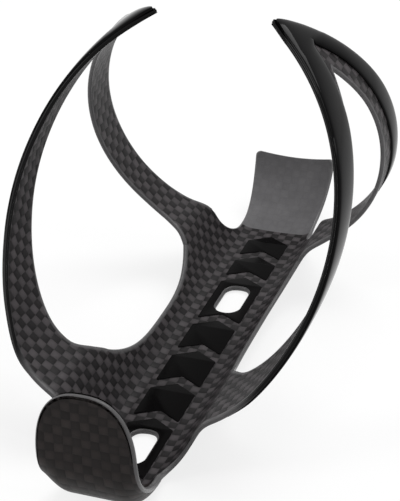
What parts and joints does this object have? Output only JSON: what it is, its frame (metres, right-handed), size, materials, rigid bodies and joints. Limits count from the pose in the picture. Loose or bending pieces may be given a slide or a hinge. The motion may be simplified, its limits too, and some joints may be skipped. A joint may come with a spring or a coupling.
{
  "type": "bicycle water bottle cage",
  "caption": "Moulded carbon bottle cage: bolted channel spine with foot stop and top tongue, and two forked arms that wrap the bottle.",
  "frame": {"origin": "centre of the mounting face on the back of the spine, midway between the two bolt slots", "axes": "+Z out of the bicycle frame towards the bottle, +Y along the spine from the foot stop to the top tongue, +X across"},
  "size_m": [0.0788, 0.1472, 0.0815],
  "materials": {
    "weave": "satin clear coat over plain-weave carbon",
    "foot_weave": "satin clear coat over plain-weave carbon, warmer",
    "tongue_weave": "matte plain-weave carbon, paler",
    "gloss_shell": "polished black clear coat",
    "gloss_mark": "gloss black film under the clear coat"
  },
  "bodies": {
    "root": {"spine_channel": "weave", "foot_stop": "foot_weave", "neck_tongue": "tongue_weave", "left_arm_skin": "weave", "right_arm_skin": "weave", "left_arm_outer_shell": "gloss_shell", "right_arm_outer_shell": "gloss_shell", "spine_mark_1": "gloss_mark", "spine_mark_2": "gloss_mark", "spine_mark_3": "gloss_mark", "spine_mark_4": "gloss_mark", "spine_mark_5": "gloss_mark", "spine_mark_6": "gloss_mark", "spine_mark_7": "gloss_mark"}
  },
  "joints": []
}
